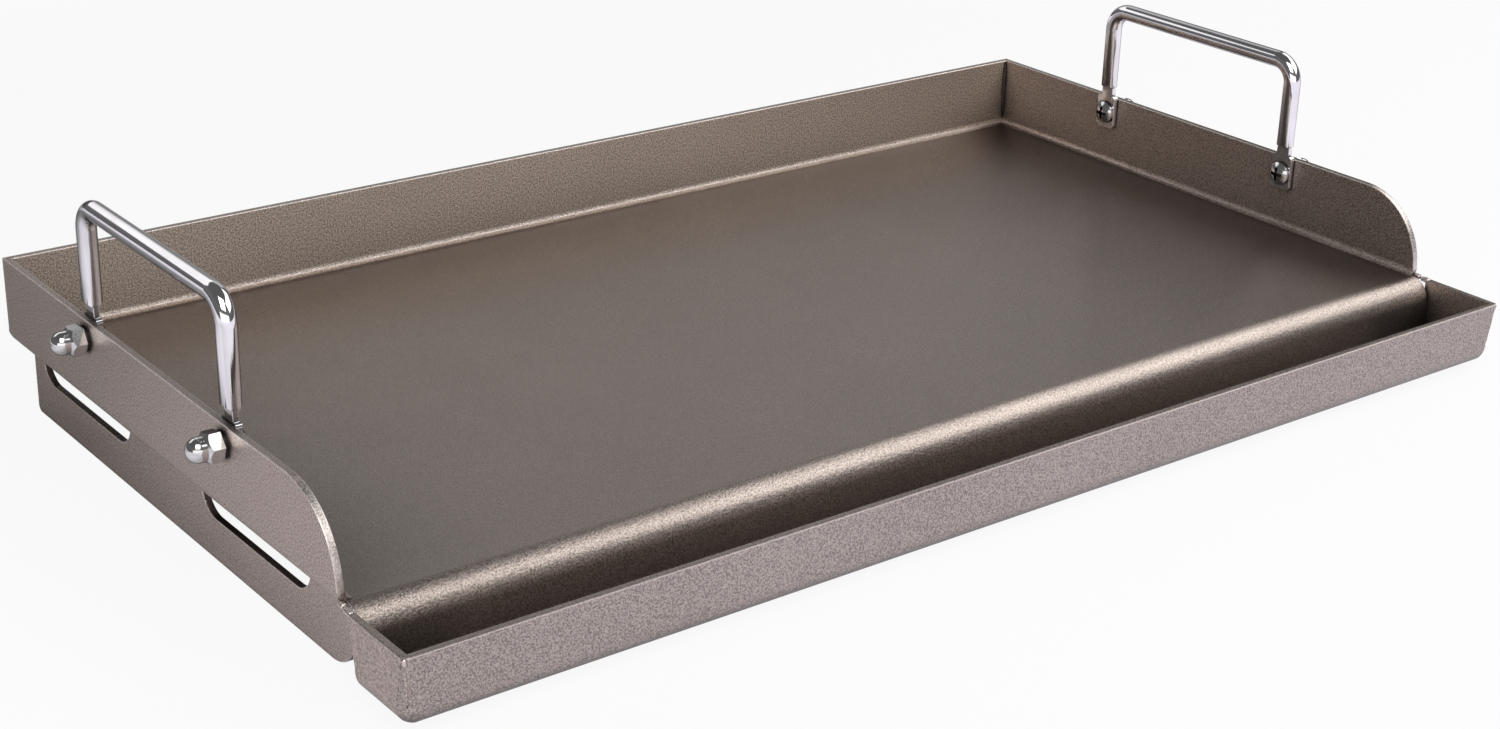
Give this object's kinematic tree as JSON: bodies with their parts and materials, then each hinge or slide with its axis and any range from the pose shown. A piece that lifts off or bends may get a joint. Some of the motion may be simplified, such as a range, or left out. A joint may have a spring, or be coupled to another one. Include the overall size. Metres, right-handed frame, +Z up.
{
  "type": "camp griddle plate",
  "caption": "Flat-top camp griddle: shallow bent-steel pan with a grease trough along the front, vented side skirts to stand on, and a rod loop handle bolted to each side wall.",
  "frame": {"origin": "on the ground in the middle of the part, below the cooking surface", "axes": "+X to the right along the width, +Y from the trough to the back wall, +Z up"},
  "size_m": [0.588, 0.326, 0.1165],
  "materials": {
    "coated_steel": "fine sand-textured metallic brown-grey coat",
    "bright_steel": "polished",
    "dark_steel": "dark spring steel"
  },
  "bodies": {
    "root": {"griddle_pan": "coated_steel", "trough_end_left": "coated_steel", "trough_end_right": "coated_steel", "side_skirt_left": "coated_steel", "side_skirt_right": "coated_steel", "long_brace": "coated_steel", "cross_brace_left": "coated_steel", "cross_brace_right": "coated_steel", "handle_left": "bright_steel", "handle_right": "bright_steel", "handle_screw_left_rear": "bright_steel", "handle_screw_left_front": "bright_steel", "handle_screw_right_rear": "bright_steel", "handle_screw_right_front": "bright_steel", "lock_washer_left_rear": "dark_steel", "lock_washer_left_front": "dark_steel", "lock_washer_right_rear": "dark_steel", "lock_washer_right_front": "dark_steel", "acorn_nut_left_rear": "bright_steel", "acorn_nut_left_front": "bright_steel", "acorn_nut_right_rear": "bright_steel", "acorn_nut_right_front": "bright_steel"}
  },
  "joints": []
}
